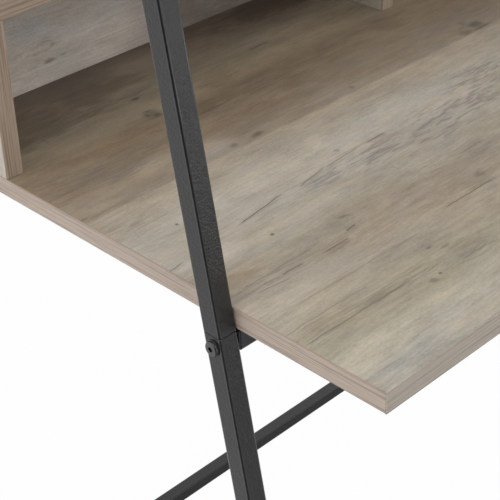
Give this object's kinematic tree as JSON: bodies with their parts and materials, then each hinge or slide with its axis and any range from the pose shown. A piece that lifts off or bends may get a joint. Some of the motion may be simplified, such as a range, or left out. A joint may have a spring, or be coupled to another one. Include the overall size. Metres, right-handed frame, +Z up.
{
  "type": "ladder writing desk",
  "caption": "Ladder-style writing desk: a wood-grain desktop between black square-tube side frames whose front legs lean back, with an open cubby hutch and an upper shelf.",
  "frame": {"origin": "on the floor, under the middle of the desk's length and depth", "axes": "+X along the desk to the sitter's right, -Y towards the sitter, +Z up"},
  "size_m": [1.1632, 0.635, 1.27],
  "materials": {
    "laminate": "grey-wash grain, satin",
    "edge_band": "streaked grain, satin",
    "powder_coat": "fine-textured powder coat, charcoal black",
    "black_plastic": "satin",
    "bolt_steel": "dark satin",
    "zinc": "bright zinc"
  },
  "bodies": {
    "root": {"desktop": "laminate", "desktop_edge_back": "edge_band", "desktop_edge_front": "edge_band", "desktop_edge_left": "edge_band", "desktop_edge_right": "edge_band", "front_foot_left": "black_plastic", "front_foot_right": "black_plastic", "front_leg_lower_left": "powder_coat", "front_leg_lower_right": "powder_coat", "front_leg_upper_left": "powder_coat", "front_leg_upper_right": "powder_coat", "front_rail": "powder_coat", "front_rail_bolt_left": "bolt_steel", "front_rail_bolt_right": "bolt_steel", "front_rail_screw_left": "zinc", "front_rail_screw_right": "zinc", "front_sleeve_left": "zinc", "front_sleeve_right": "zinc", "hutch_back": "laminate", "hutch_divider": "laminate", "hutch_divider_edge_front": "edge_band", "hutch_side_left": "laminate", "hutch_side_left_edge_front": "edge_band", "hutch_side_right": "laminate", "hutch_side_right_edge_front": "edge_band", "hutch_top": "laminate", "hutch_top_edge_front": "edge_band", "rear_foot_left": "black_plastic", "rear_foot_right": "black_plastic", "rear_leg_lower_left": "powder_coat", "rear_leg_lower_right": "powder_coat", "rear_leg_upper_left": "powder_coat", "rear_leg_upper_right": "powder_coat", "rear_rail": "powder_coat", "rear_rail_bolt_left": "bolt_steel", "rear_rail_bolt_right": "bolt_steel", "rear_rail_screw_left": "zinc", "rear_rail_screw_right": "zinc", "rear_sleeve_left": "zinc", "rear_sleeve_right": "zinc", "shelf_front_rail": "powder_coat", "shelf_front_rail_bolt_left": "bolt_steel", "shelf_front_rail_bolt_right": "bolt_steel", "shelf_front_rail_screw_left": "zinc", "shelf_front_rail_screw_right": "zinc", "shelf_rear_rail": "powder_coat", "shelf_rear_rail_bolt_left": "bolt_steel", "shelf_rear_rail_bolt_right": "bolt_steel", "shelf_rear_rail_screw_left": "zinc", "shelf_rear_rail_screw_right": "zinc", "side_bar_low_left": "powder_coat", "side_bar_low_right": "powder_coat", "side_bar_top_left": "powder_coat", "side_bar_top_right": "powder_coat", "stretcher": "powder_coat", "stretcher_bolt_left": "bolt_steel", "stretcher_bolt_right": "bolt_steel", "upper_shelf": "laminate", "upper_shelf_edge_front": "edge_band"}
  },
  "joints": []
}
